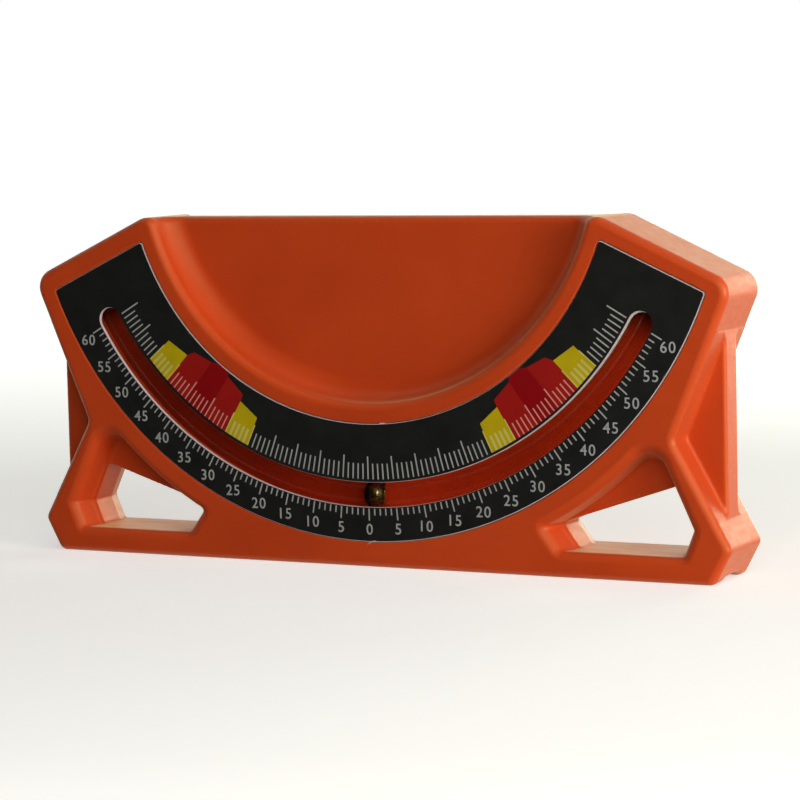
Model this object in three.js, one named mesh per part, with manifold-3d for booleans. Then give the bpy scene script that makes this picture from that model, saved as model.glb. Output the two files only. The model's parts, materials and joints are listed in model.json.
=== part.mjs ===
// Pocket inclinometer: a moulded case with a printed dial plate round a curved slot,
// and behind the slot a sealed curved tube in which a steel ball rolls.
// Millimetres, +Z up, dial facing -Y, origin under the middle of the base.

import * as THREE from "three";
import { mergeVertices } from "three/addons/utils/BufferGeometryUtils.js";
import Module from "manifold-3d";

const wasm = await Module();
wasm.setup();

// Case, overall
const shoulderSpan = 103.5; // between the two shoulder corners, before they are rounded
const caseHeight = 46.15;
const caseDepth = 11.6;
const webThickness = 4; // the middle layer, between the front and rear reliefs
const edgeRadius = 1; // round of the front and rear edges
const shoulderRadius = 2.6;
const topCornerRadius = 2.4;
const cornerRadius = 1.2; // of the foot and the base
const waistRadius = 1.6;

// Half outline of the case: shares of half the shoulder span and of the height
const topCornerShares = [0.655, 1];
const shoulderShares = [1, 0.82];
const waistShares = [0.84, 0.3933];
const footShares = [0.9874, 0.0986];
const baseCornerShares = [0.9407, 0];
const webSideShare = 0.9519;

// Tube, ball and plugs
const arcRadius = 45.45; // from the dial's centre to the middle of the tube
const centreAboveTop = 8.75; // the dial's centre lies over the case
const ballDiameter = 3.175;
const ballClearance = 0.11; // between the ball and the bore, all round
const tubeWall = 0.5;
const ballTravel = 60.5; // degrees each way
const plugStem = 2.6;
const plugHead = 1;

// Dial plate
const plateThickness = 0.5;
const adhesiveThickness = 0.15;
const plateInnerMargin = 9.6; // from the tube's middle line to the plate's inner edge
const plateOuterMargin = 6;
const plateCornerRadius = 0.6;
const plateEndRim = 3; // case left between the shoulder's slope and the plate
const slotWidth = 3.1;
const slotSweep = 60.3; // degrees from the lowest point to the centre of the slot's round end

// Dish, waist notches and base groove
const dishLand = 2.5; // case left between the plate and the dish
const dishLean = 0.6;
const dishCove = 2.6;
const notchDraft = 0.75;
const poleRadius = 8.5; // the ski pole that the base sits on
const railWidth = 0.8; // flat rail left on each side of the pole's groove

// Strap pockets, with a hole through the web in the lower part of each
const pocketLand = 3.05; // case left between the plate and a pocket
const pocketFloor = 3.35; // height of the bar under a pocket, at the face
const pocketFloorDraft = 0.1; // how much higher the bar is at the web
const pocketDraft = 1.3;
const pocketTopRadius = 2.3;
const pocketInnerShare = 0.5302; // across, at the floor
const pocketOuterShare = 0.8675;
const pocketTipShares = [0.4864, 0.1398];
const pocketSideShares = [0.8946, 0.1473];
const pocketTopShares = [0.7883, 0.4063];
const holeEdgeLowShares = [0.5225, 0.1489]; // the hole's straight upper edge
const holeEdgeHighShares = [0.8232, 0.2594];

// Fits
const clearance = 0.3; // between pieces that are laid in place
const plugFit = 0.1;
const stopGap = 0.1; // left between the ball and a plug at the end of its travel
const overrun = 2; // how far a cut runs past the face that it opens

// How finely round stretches are divided
const sweepSteps = 48;
const plugSteps = 2;
const sectionSides = 16;
const cornerSteps = 5;
const dialSteps = 48;
const pocketSteps = 10;
const capSteps = 8;
const edgeSteps = 3;
const coveSteps = 5;
const revolveSteps = 64;
const ballAround = 20;
const ballRings = 14;

// Worked out from the sizes above
const halfSpan = shoulderSpan / 2;
const frontFace = -caseDepth / 2;
const webFace = -webThickness / 2;
const centreHeight = caseHeight + centreAboveTop;
const plateInnerRadius = arcRadius - plateInnerMargin;
const plateOuterRadius = arcRadius + plateOuterMargin;
const pocketArcRadius = plateOuterRadius + pocketLand;
const dishRadius = plateInnerRadius - dishLand;
const plateBack = frontFace + plateThickness;
const recessFloor = plateBack + adhesiveThickness;
const ballRadius = ballDiameter / 2;
const boreRadius = ballRadius + ballClearance;
const tubeRadius = boreRadius + tubeWall;
const tubeY = recessFloor + clearance + tubeRadius;

// Places along the tube, from its lowest point
const plugFace = arcRadius * THREE.MathUtils.degToRad(ballTravel) + ballRadius + stopGap;
const tubeEnd = plugFace + plugStem;
const headStart = tubeEnd + plugFit;
const headEnd = headStart + plugHead;
const grooveEnd = headEnd + clearance;

// Points of an outline

function outlinePoint([acrossShare, upShare]) {
  return new THREE.Vector2(acrossShare * halfSpan, upShare * caseHeight);
}

// Angles about the dial's centre run from straight down, positive to the right
function dialPoint(radius, angle) {
  return new THREE.Vector2(radius * Math.sin(angle), centreHeight - radius * Math.cos(angle));
}

function dialAngle(point) {
  return Math.atan2(point.x, centreHeight - point.y);
}

function dialArc(radius, fromAngle, toAngle, steps) {
  const points = [];
  for (let i = 0; i <= steps; i += 1) {
    points.push(dialPoint(radius, THREE.MathUtils.lerp(fromAngle, toAngle, i / steps)));
  }
  return points;
}

function mirrored(points) {
  return points.map((point) => new THREE.Vector2(-point.x, point.y)).reverse();
}

// The point of the line through a and b that lies at a given distance across or height
function atAcross(a, b, across) {
  return a.clone().lerp(b, (across - a.x) / (b.x - a.x));
}

function atHeight(a, b, height) {
  return a.clone().lerp(b, (height - a.y) / (b.y - a.y));
}

// Where the line from a to b leaves a circle about the dial's centre
function leavesCircle(a, b, radius) {
  const centre = new THREE.Vector2(0, centreHeight);
  const along = b.clone().sub(a).normalize();
  const nearest = a.clone().addScaledVector(along, centre.clone().sub(a).dot(along));
  const half = Math.sqrt(radius ** 2 - nearest.distanceToSquared(centre));
  return nearest.addScaledVector(along, half);
}

// The shorter arc about a centre, from one point to another
function arcAbout(centre, from, to) {
  const start = from.clone().sub(centre);
  const end = to.clone().sub(centre);
  const turn = Math.atan2(start.cross(end), start.dot(end));
  const points = [];
  for (let i = 0; i <= cornerSteps; i += 1) {
    points.push(from.clone().rotateAround(centre, (turn * i) / cornerSteps));
  }
  return points;
}

// An arc in place of a corner, tangent to the two lines that meet there
function cornerArc(before, corner, after, radius) {
  const toBefore = before.clone().sub(corner).normalize();
  const toAfter = after.clone().sub(corner).normalize();
  const halfAngle = Math.acos(toBefore.dot(toAfter)) / 2;
  const inward = toBefore.clone().add(toAfter).normalize();
  const centre = corner.clone().addScaledVector(inward, radius / Math.sin(halfAngle));
  const tangent = radius / Math.tan(halfAngle);
  const start = corner.clone().addScaledVector(toBefore, tangent);
  const end = corner.clone().addScaledVector(toAfter, tangent);
  return arcAbout(centre, start, end);
}

// A closed outline of [point, radius] corners; a corner with no radius stays sharp
function roundedOutline(corners) {
  return corners.flatMap(([corner, radius], i) => {
    if (!radius) return [corner];
    const [before] = corners.at(i - 1);
    const [after] = corners[(i + 1) % corners.length];
    return cornerArc(before, corner, after, radius);
  });
}

// Solids

function solid(geometry) {
  const bare = geometry.clone();
  bare.deleteAttribute("normal");
  bare.deleteAttribute("uv");
  const merged = mergeVertices(bare);
  return new wasm.Manifold(
    new wasm.Mesh({
      numProp: 3,
      vertProperties: merged.attributes.position.array,
      triVerts: new Uint32Array(merged.index.array),
    }),
  );
}

function geometryOf(made) {
  const mesh = made.getMesh();
  const geometry = new THREE.BufferGeometry();
  geometry.setAttribute("position", new THREE.BufferAttribute(mesh.vertProperties, 3));
  geometry.setIndex(new THREE.BufferAttribute(mesh.triVerts, 1));
  geometry.computeVertexNormals();
  return geometry;
}

// An extrusion of an upright outline, moved so that its start lies at a given depth
function extrude(outline, holes, start, options) {
  const shape = new THREE.Shape(outline);
  shape.holes = holes.map((hole) => new THREE.Path(hole));
  const geometry = new THREE.ExtrudeGeometry(shape, options);
  return geometry.rotateX(Math.PI / 2).translate(0, start, 0);
}

// An outline made solid from front to back, with its edges moved out by a margin
function slab(outline, front, back, margin = 0, holes = []) {
  return extrude(outline, holes, back, {
    depth: back - front,
    bevelSegments: 0,
    bevelThickness: 0,
    bevelSize: margin,
  });
}

function roundedSlab(outline, front, back, radius) {
  return extrude(outline, [], back - radius, {
    depth: back - front - radius - radius,
    bevelSegments: edgeSteps,
    bevelThickness: radius,
    bevelSize: radius,
    bevelOffset: -radius,
  });
}

// A cut from the front face in to the web, which the draft narrows on its way
function draftedCut(outline, draft) {
  return extrude(outline, [], frontFace, {
    depth: overrun,
    bevelSegments: 1,
    bevelThickness: webFace - frontFace,
    bevelSize: draft,
    bevelOffset: -draft,
  });
}

function turnedToRear(geometry) {
  return geometry.clone().rotateZ(Math.PI);
}

class TubeRoute extends THREE.Curve {
  constructor(start, end) {
    super();
    this.start = start;
    this.end = end;
  }

  getPoint(t) {
    const along = THREE.MathUtils.lerp(this.start, this.end, t);
    const point = dialPoint(arcRadius, along / arcRadius);
    return new THREE.Vector3(point.x, tubeY, point.y);
  }
}

// A section swept along the tube's arc, with the section's x axis to the front
function alongTube(section, start, end, steps) {
  return new THREE.ExtrudeGeometry(section, {
    steps,
    curveSegments: sectionSides / 2,
    extrudePath: new TubeRoute(start, end),
  });
}

function bar(radius, start, end, steps) {
  const section = new THREE.Shape();
  section.absarc(0, 0, radius, 0, Math.PI * 2);
  return alongTube(section, start, end, steps);
}

// Case

const topCorner = outlinePoint(topCornerShares);
const shoulder = outlinePoint(shoulderShares);
const waist = outlinePoint(waistShares);
const foot = outlinePoint(footShares);
const baseCorner = outlinePoint(baseCornerShares);
const webSide = webSideShare * halfSpan;
const webTopEnd = atAcross(waist, shoulder, webSide);
const webLowEnd = atAcross(waist, foot, webSide);

// The whole moulding's outline, where the web fills the waist
function caseOutline() {
  const half = [
    [baseCorner, cornerRadius],
    [foot, cornerRadius],
    [webLowEnd, 0],
    [webTopEnd, 0],
    [shoulder, shoulderRadius],
    [topCorner, topCornerRadius],
  ];
  const otherHalf = half.map(([point, radius]) => [new THREE.Vector2(-point.x, point.y), radius]);
  return roundedOutline([...half, ...otherHalf.reverse()]);
}

// The relief before the web at the waist, run out past the web's side
function notchOutline() {
  const outside = new THREE.Vector2(overrun + notchDraft, 0);
  return roundedOutline([
    [waist, waistRadius],
    [webLowEnd, 0],
    [webLowEnd.clone().add(outside), 0],
    [webTopEnd.clone().add(outside), 0],
    [webTopEnd, 0],
  ]);
}

// The unit vector to the right of the way from a to b
function rightOf(a, b) {
  return b.clone().sub(a).normalize().rotateAround(new THREE.Vector2(), -Math.PI / 2);
}

// A strap pocket at the front face: its upper side follows the dial, and its lower side is
// set low by the draft, so that the bar cuts it off
function pocketOutline() {
  const top = outlinePoint(pocketTopShares);
  const side = outlinePoint(pocketSideShares);
  const tip = outlinePoint(pocketTipShares);
  const inner = new THREE.Vector2(pocketInnerShare * halfSpan, pocketFloor);
  const outer = new THREE.Vector2(pocketOuterShare * halfSpan, pocketFloor);
  const bottom = pocketFloor - pocketDraft;

  // The round of the top corner touches the side and the arc
  const toRound = rightOf(top, side).multiplyScalar(pocketTopRadius);
  const roundCentre = leavesCircle(
    top.clone().add(toRound),
    side.clone().add(toRound),
    pocketArcRadius + pocketTopRadius,
  );
  const roundStart = roundCentre.clone().sub(toRound);
  const roundEnd = dialPoint(pocketArcRadius, dialAngle(roundCentre));
  const arcEnd = leavesCircle(tip, inner, pocketArcRadius);
  const arc = dialArc(pocketArcRadius, dialAngle(roundEnd), dialAngle(arcEnd), pocketSteps);
  return [
    ...arcAbout(roundCentre, roundStart, roundEnd),
    ...arc.slice(1),
    atHeight(tip, inner, bottom),
    atHeight(side, outer, bottom),
    side,
  ];
}

// The space over the bar, and the part of it that lies under the strap hole's upper edge
function overBar() {
  return [
    new THREE.Vector2(0, pocketFloor),
    new THREE.Vector2(shoulderSpan, pocketFloor),
    new THREE.Vector2(shoulderSpan, caseHeight),
    new THREE.Vector2(0, caseHeight),
  ];
}

function underHoleEdge() {
  const low = outlinePoint(holeEdgeLowShares);
  const high = outlinePoint(holeEdgeHighShares);
  const floor = pocketFloor + pocketFloorDraft;
  return [
    atHeight(low, high, floor),
    new THREE.Vector2(shoulderSpan, floor),
    atAcross(low, high, shoulderSpan),
  ];
}

function strapPocket(side) {
  const cut = solid(draftedCut(side(pocketOutline()), pocketDraft));
  return cut.intersect(solid(draftedCut(side(overBar()), pocketFloorDraft)));
}

function strapHole(side) {
  const through = solid(slab(side(pocketOutline()), -webThickness, webThickness, -pocketDraft));
  return through.intersect(solid(slab(side(underHoleEdge()), -caseDepth, caseDepth)));
}

// The dish is a turned hollow about the dial's centre line
function dish() {
  const wallRadius = dishRadius - dishLean;
  const profile = [new THREE.Vector2(0, webFace)];
  for (let i = coveSteps; i >= 0; i -= 1) {
    const angle = (Math.PI / 2) * (i / coveSteps);
    const radius = wallRadius - dishCove + dishCove * Math.cos(angle);
    profile.push(new THREE.Vector2(radius, webFace - dishCove + dishCove * Math.sin(angle)));
  }
  profile.push(new THREE.Vector2(dishRadius, frontFace));
  profile.push(new THREE.Vector2(dishRadius, frontFace - overrun));
  profile.push(new THREE.Vector2(0, frontFace - overrun));
  return new THREE.LatheGeometry(profile.reverse(), revolveSteps).translate(0, 0, centreHeight);
}

function dialPlateOutline() {
  const inward = rightOf(topCorner, shoulder);
  const endTop = topCorner.clone().addScaledVector(inward, plateEndRim);
  const endLow = shoulder.clone().addScaledVector(inward, plateEndRim);
  const outerAngle = dialAngle(leavesCircle(endTop, endLow, plateOuterRadius));
  const innerAngle = dialAngle(leavesCircle(endTop, endLow, plateInnerRadius));
  const outer = dialArc(plateOuterRadius, -outerAngle, outerAngle, dialSteps);
  const inner = dialArc(plateInnerRadius, innerAngle, -innerAngle, dialSteps);
  const withCorners = (arc) => arc.map((p, i) => [p, i === 0 || i === dialSteps ? plateCornerRadius : 0]);
  return roundedOutline([...withCorners(outer), ...withCorners(inner)]);
}

// A round end of the slot, from its outer side to its inner side
function slotEnd(angle) {
  const centre = dialPoint(arcRadius, angle);
  const outermost = dialPoint(arcRadius + slotWidth / 2, angle);
  const points = [];
  for (let i = 1; i < capSteps; i += 1) {
    points.push(outermost.clone().rotateAround(centre, (Math.PI * i) / capSteps));
  }
  return points;
}

function slotOutline() {
  const sweep = THREE.MathUtils.degToRad(slotSweep);
  const rightEnd = slotEnd(sweep);
  return [
    ...dialArc(arcRadius + slotWidth / 2, -sweep, sweep, dialSteps),
    ...rightEnd,
    ...dialArc(arcRadius - slotWidth / 2, sweep, -sweep, dialSteps),
    ...mirrored(rightEnd),
  ];
}

// The channel that the tube lies in, round below and open to the front
function tubeGroove() {
  const radius = tubeRadius + clearance;
  const mouth = tubeY - frontFace + overrun;
  const section = new THREE.Shape();
  section.moveTo(mouth, -radius);
  section.lineTo(mouth, radius);
  section.absarc(0, 0, radius, Math.PI / 2, -Math.PI / 2);
  return solid(alongTube(section, -grooveEnd, grooveEnd, sweepSteps));
}

function poleGroove() {
  const halfWidth = caseDepth / 2 - edgeRadius - railWidth;
  const poleDrop = Math.sqrt(poleRadius ** 2 - halfWidth ** 2);
  const pole = new THREE.CylinderGeometry(poleRadius, poleRadius, shoulderSpan, revolveSteps);
  return pole.rotateZ(Math.PI / 2).translate(0, 0, -poleDrop);
}

function makeHousing() {
  const asIs = (points) => points;
  const hollows = [];
  for (const side of [asIs, mirrored]) {
    const notch = draftedCut(side(notchOutline()), notchDraft);
    const pocket = geometryOf(strapPocket(side));
    hollows.push(solid(notch), solid(turnedToRear(notch)));
    hollows.push(solid(pocket), solid(turnedToRear(pocket)));
    hollows.push(strapHole(side));
  }
  hollows.push(solid(dish()), solid(turnedToRear(dish())));
  hollows.push(solid(slab(dialPlateOutline(), frontFace - overrun, recessFloor, clearance)));
  hollows.push(tubeGroove());
  hollows.push(solid(poleGroove()));
  const blank = solid(roundedSlab(caseOutline(), frontFace, -frontFace, edgeRadius));
  return geometryOf(hollows.reduce((made, hollow) => made.subtract(hollow), blank));
}

// Dial plate and the film that holds it

function makeDialPlate() {
  return slab(dialPlateOutline(), frontFace, plateBack, 0, [slotOutline()]);
}

function makeDialAdhesive() {
  return slab(dialPlateOutline(), plateBack, recessFloor, -clearance, [slotOutline()]);
}

// Tube, plugs and ball

function makeTube() {
  const outside = solid(bar(tubeRadius, -tubeEnd, tubeEnd, sweepSteps));
  return geometryOf(outside.subtract(solid(bar(boreRadius, -headEnd, headEnd, sweepSteps))));
}

// A stem in the bore and a head over the tube's end; the sign says at which end
function makePlug(sign) {
  const stem = bar(boreRadius - plugFit, sign * plugFace, sign * headEnd, plugSteps);
  const head = bar(tubeRadius, sign * headStart, sign * headEnd, plugSteps);
  return geometryOf(solid(stem).add(solid(head)));
}

function makeBall() {
  return new THREE.SphereGeometry(ballRadius, ballAround, ballRings);
}

// Finishes and assembly

const orangePlastic = new THREE.MeshStandardMaterial({ color: 0xd8431a, roughness: 0.42 });
const printedSheet = new THREE.MeshStandardMaterial({ color: 0x1d1e1d, roughness: 0.5 });
const clearFilm = new THREE.MeshStandardMaterial({
  color: 0xe8e4da,
  roughness: 0.6,
  transparent: true,
  opacity: 0.6,
});
const clearTube = new THREE.MeshStandardMaterial({
  color: 0xf3f6f4,
  roughness: 0.05,
  transparent: true,
  opacity: 0.3,
});
const plugRubber = new THREE.MeshStandardMaterial({ color: 0x2a2a2a, roughness: 0.8 });
const polishedSteel = new THREE.MeshStandardMaterial({ color: 0xc9c9c7, roughness: 0.12, metalness: 1 });

function piece(name, geometry, material) {
  const mesh = new THREE.Mesh(geometry, material);
  mesh.name = name;
  return mesh;
}

const inclinometer = new THREE.Group();
inclinometer.add(piece("housing", makeHousing(), orangePlastic));
inclinometer.add(piece("dial_plate", makeDialPlate(), printedSheet));
inclinometer.add(piece("dial_adhesive", makeDialAdhesive(), clearFilm));
inclinometer.add(piece("vial_tube", makeTube(), clearTube));
inclinometer.add(piece("vial_plug_left", makePlug(-1), plugRubber));
inclinometer.add(piece("vial_plug_right", makePlug(1), plugRubber));

const ball = piece("ball", makeBall(), polishedSteel);
ball.position.set(0, tubeY, centreHeight - arcRadius);
inclinometer.add(ball);

export default inclinometer;
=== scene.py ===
"""A pocket inclinometer: orange moulded case, printed dial sheet, clear curved tube and steel ball.

The shapes are worked out in millimetres, in the frame of the construction model, and written to
Blender in metres. The dial faces -Y and +Z is up.
"""

import json
import math
from itertools import product

import bmesh
import bpy
import numpy as np
from mathutils import Matrix, Vector


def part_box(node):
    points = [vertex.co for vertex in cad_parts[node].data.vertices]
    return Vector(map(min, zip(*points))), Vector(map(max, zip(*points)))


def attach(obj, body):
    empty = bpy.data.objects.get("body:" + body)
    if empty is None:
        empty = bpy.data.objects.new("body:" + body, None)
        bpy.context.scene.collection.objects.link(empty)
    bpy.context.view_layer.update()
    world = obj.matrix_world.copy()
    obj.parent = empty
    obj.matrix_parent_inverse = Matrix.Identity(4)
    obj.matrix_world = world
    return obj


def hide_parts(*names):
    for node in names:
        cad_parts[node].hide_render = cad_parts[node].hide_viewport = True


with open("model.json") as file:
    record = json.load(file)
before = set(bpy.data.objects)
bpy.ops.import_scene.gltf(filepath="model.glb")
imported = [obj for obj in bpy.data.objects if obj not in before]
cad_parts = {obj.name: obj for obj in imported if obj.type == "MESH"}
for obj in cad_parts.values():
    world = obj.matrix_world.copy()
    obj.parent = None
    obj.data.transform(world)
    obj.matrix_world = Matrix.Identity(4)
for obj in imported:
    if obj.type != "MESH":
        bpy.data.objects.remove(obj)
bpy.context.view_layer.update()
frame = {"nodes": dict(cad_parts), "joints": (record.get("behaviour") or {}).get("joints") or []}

MM = 0.001  # metres in one of this script's units

# Read from the frame
_, case_high = (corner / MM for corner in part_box("housing"))
sheet_low, sheet_high = (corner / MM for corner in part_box("dial_plate"))
_, film_high = (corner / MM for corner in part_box("dial_adhesive"))
tube_low, tube_high = (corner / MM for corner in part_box("vial_tube"))
ball_low, ball_high = (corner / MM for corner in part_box("ball"))
roll_joint = frame["joints"][0]

CASE_HEIGHT = case_high.z
HALF_DEPTH = case_high.y
DIAL_CENTRE_Z = roll_joint["pos_m"][2] / MM
TUBE_Y = roll_joint["pos_m"][1] / MM
BALL_RADIUS = (ball_high.z - ball_low.z) / 2
ARC_RADIUS = DIAL_CENTRE_Z - (ball_high.z + ball_low.z) / 2
TUBE_RADIUS = (tube_high.y - tube_low.y) / 2
SHEET_BACK = sheet_high.y
RECESS_FLOOR = film_high.y
BALL_TRAVEL = math.radians(roll_joint["range_deg"][1])

# Case
SHOULDER_SPAN = 103.5  # between the shoulder corners, before they are rounded
HALF_SPAN = SHOULDER_SPAN / 2
HALF_WEB = 2.0
EDGE_RADIUS = 1.0
SHOULDER_RADIUS = 2.6
TOP_CORNER_RADIUS = 2.4
CORNER_RADIUS = 1.2  # of the foot and the base
WAIST_RADIUS = 1.6
WEB_EDGE_RADIUS = 0.45
WAIST_FILLET = 0.5
CLEARANCE = 0.3  # round the tube

# Half outline of the case: shares of half the span and of the height
TOP_CORNER_SHARES = (0.655, 1)
SHOULDER_SHARES = (1, 0.82)
WAIST_SHARES = (0.84, 0.3933)
FOOT_SHARES = (0.9874, 0.0986)
BASE_CORNER_SHARES = (0.9407, 0)
WEB_SIDE_SHARE = 0.9519

# Dish, notches and base groove
DISH_RADIUS = 33.35
DISH_LEAN = 0.6
DISH_COVE = 2.6
DISH_EDGE_RADIUS = 0.9
NOTCH_DRAFT = 0.2
POLE_RADIUS = 8.5
RAIL_WIDTH = 0.8

# Strap pockets and their holes
POCKET_ARC_RADIUS = 54.5
POCKET_FLOOR = 3.35
POCKET_FLOOR_DRAFT = 0.1
POCKET_DRAFT = 1.3
POCKET_ARC_DRAFT = 0.65  # of the side that follows the dial
POCKET_TOP_RADIUS = 2.3
POCKET_CORNER_RADIUS = 0.5
POCKET_COVE = 0.5
POCKET_EDGE_RADIUS = 1.1
HOLE_CORNER_RADIUS = 0.5
HOLE_EDGE_RADIUS = 0.3
POCKET_INNER_SHARE = 0.5302
POCKET_OUTER_SHARE = 0.8675
POCKET_TIP_SHARES = (0.4864, 0.1398)
POCKET_SIDE_SHARES = (0.8946, 0.1473)
POCKET_TOP_SHARES = (0.7883, 0.4063)
HOLE_EDGE_LOW_SHARES = (0.5225, 0.1489)
HOLE_EDGE_HIGH_SHARES = (0.8232, 0.2594)

# Dial sheet and its recess
SHEET_INNER = 35.85
SHEET_OUTER = 51.45
SHEET_CORNER = 0.35
SHEET_END_RIM = 2.8
SLOT_WIDTH = 3.3
SLOT_RADIUS = 45.23  # a little off the tube's own arc
SLOT_SWEEP = math.radians(60.3)
SHEET_TURN = math.radians(0.33)  # of the sheet, its recess and its print, about the dial's centre
RECESS_GAP = 0.1  # between the sheet and the case
RECESS_EDGE_RADIUS = 0.12
GROOVE_EDGE_RADIUS = 0.15
INK_INSET = 0.08  # from the sheet's edge
SLOT_INK_INSET = 0.05
INK_SHIFT = np.array([-0.06, 0])  # of the black, off its true place
INK_THICKNESS = 0.012
INK_ROOM = 4 * INK_THICKNESS  # kept for the inks, in front of the sheet itself
INK_FACE = sheet_low.y + INK_ROOM  # the sheet's own front, under the inks
SHEET_BEVEL = 0.03
TAB_WIDTH = 0.7  # a small tab on the sheet's inner edge
TAB_HEIGHT = 0.24
INNER_TAB_ANGLE = math.radians(3.5)
CURL_START = math.radians(1.3)  # a curl of the cut edge, which lies out over the case
CURL_END = math.radians(-0.15)
CURL_REACH = 0.5
CURL_WIDTH = 0.17
CURL_LIFT = 0.06  # half its thickness: it lies half in the case's face and half out

# Tube and plugs
TUBE_WALL = 0.5
BORE_RADIUS = TUBE_RADIUS - TUBE_WALL
STOP_GAP = 0.1
PLUG_STEM = 2.6
PLUG_HEAD = 1.1
PLUG_FACE = ARC_RADIUS * BALL_TRAVEL + BALL_RADIUS + STOP_GAP
TUBE_END = PLUG_FACE + PLUG_STEM
GROOVE_END = TUBE_END + PLUG_HEAD + CLEARANCE
GROOVE_RADIUS = TUBE_RADIUS + CLEARANCE
TUBE_END_ROUND = 0.12

# Scales of the dial: radii from the dial's centre
SCALE_LIMIT = 60  # degrees each way
LONG_TICK_EVERY = 5
TICK_WIDTH = 0.18
BROAD_TICK_WIDTH = 0.34  # over the yellow zones
OUTER_SCALE_FOOT = 47.05
OUTER_SHORT_TICK = 47.95
OUTER_LONG_TICK = 48.65
INNER_SCALE_FOOT = 43.16
INNER_SHORT_TICK = 41.1
INNER_LONG_TICK = 40.15
NUMERAL_RADIUS = 49.8
NUMERAL_HEIGHT = 1.45
NUMERAL_BOLD = 0.005  # added round each stroke, for type of size 1
NUMERAL_SPACING = 1.15  # times the type's own
NUMERAL_LAG = 0.45  # how far, at most, a number stands nearer the middle than its line

# Warning zones, on which lines of the inner scale are printed
YELLOW_DEGREES = ((25, 30), (45, 50))
RED_DEGREES = (30, 45)

# Outlines of the zones: corners as (degrees, radius) pairs
YELLOW_ZONES = (
    ((50, INNER_SCALE_FOOT), (50, 39.17), (45.05, 38.39), (45, INNER_SCALE_FOOT)),
    ((30, INNER_SCALE_FOOT), (29.85, 38.3), (25.1, 39.12), (25.1, INNER_SCALE_FOOT)),
)
RED_ZONES = (
    ((45, INNER_SCALE_FOOT), (45.05, 38.39), (44.2, 37.3), (39.8, 36.53), (40, INNER_SCALE_FOOT)),
    ((35, INNER_SCALE_FOOT), (34.9, 36.52), (30, 37.33), (29.85, 38.32), (30, INNER_SCALE_FOOT)),
)
DARK_ZONES = (
    (
        (40, INNER_SCALE_FOOT),
        (39.8, 36.53),
        (38.4, 35.96),
        (35.4, 35.96),
        (34.9, 36.52),
        (35, INNER_SCALE_FOOT),
    ),
)

# How finely surfaces, arcs and type are sampled
FIELD_STEP = 0.32
FINE_STEP = 0.11
FINE_REACH = 0.4
TURN_STEP = math.radians(0.34)
GRID_MARGIN = 0.43
SETTLE_ROUNDS = 5
LEAST_SLOPE_SQUARED = 0.2  # keeps a point's step short where the field is nearly level
ARC_STEP = math.radians(0.5)
ZONE_STEP = 0.5  # degrees
TUBE_SIDES = 48
TUBE_STEPS = 160  # along its length
BALL_CUTS = 23  # through each edge of the cube that becomes the ball
NUMERAL_CURVE_STEPS = 6
MERGE_REACH = 0.0001  # points nearer to each other than this become one
NUMERAL_MERGE_REACH = 0.00001


# Points and lines of the case's outline, across and up

def outline_point(shares):
    return np.array([shares[0] * HALF_SPAN, shares[1] * CASE_HEIGHT])


def dial_point(radius, angle):
    """Angles about the dial's centre run from straight down, positive to the right"""
    return np.array([radius * math.sin(angle), DIAL_CENTRE_Z - radius * math.cos(angle)])


class Side:
    """The straight side from one point to another, with the inside on its left"""

    def __init__(self, start, end):
        along = (end - start) / np.linalg.norm(end - start)
        self.start = start
        self.along = along
        self.outward = np.array([along[1], -along[0]])

    def out(self, across, up):
        """How far a point lies outside"""
        return (across - self.start[0]) * self.outward[0] + (up - self.start[1]) * self.outward[1]

    def cosine(self, other):
        return float(self.outward @ other.outward)


top_corner = outline_point(TOP_CORNER_SHARES)
shoulder = outline_point(SHOULDER_SHARES)
waist = outline_point(WAIST_SHARES)
foot = outline_point(FOOT_SHARES)
base_corner = outline_point(BASE_CORNER_SHARES)
middle_top = np.array([0.0, CASE_HEIGHT])
middle_base = np.array([0.0, 0.0])
WEB_SIDE = WEB_SIDE_SHARE * HALF_SPAN

base_side = Side(middle_base, base_corner)
foot_side = Side(base_corner, foot)
low_side = Side(foot, waist)
high_side = Side(waist, shoulder)
slope_side = Side(shoulder, top_corner)
top_side = Side(top_corner, middle_top)

pocket_top = outline_point(POCKET_TOP_SHARES)
pocket_side = outline_point(POCKET_SIDE_SHARES)
pocket_tip = outline_point(POCKET_TIP_SHARES)
pocket_inner = np.array([POCKET_INNER_SHARE * HALF_SPAN, POCKET_FLOOR])
pocket_outer = np.array([POCKET_OUTER_SHARE * HALF_SPAN, POCKET_FLOOR])
hole_low = outline_point(HOLE_EDGE_LOW_SHARES)
hole_high = outline_point(HOLE_EDGE_HIGH_SHARES)

# Sides of the strap pocket and its hole, with the hollow on their left
pocket_outer_side = Side(pocket_side, pocket_top)
pocket_corner_side = Side(pocket_outer, pocket_side)
pocket_inner_side = Side(pocket_tip, pocket_inner)
pocket_floor_side = Side(pocket_inner, pocket_outer)
hole_side = Side(hole_high, hole_low)


# Solids as fields: the distance to the surface, negative inside

def meet(first, second, radius, cosine=0.0):
    """What lies inside both, with a round edge. The cosine is that of the outward directions"""
    u = first + radius
    v = second + radius
    square = (u * u + v * v - 2 * cosine * u * v) / (1 - cosine * cosine)
    rounded = np.sqrt(np.maximum(square, 0)) - radius
    return np.where((u > cosine * v) & (v > cosine * u), rounded, np.maximum(first, second))


def join(first, second, radius, cosine=0.0):
    """What lies inside either, with a fillet in the corner between them"""
    return -meet(-first, -second, radius, cosine)


def carve(solid, hollow, radius):
    return meet(solid, -hollow, radius)


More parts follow.
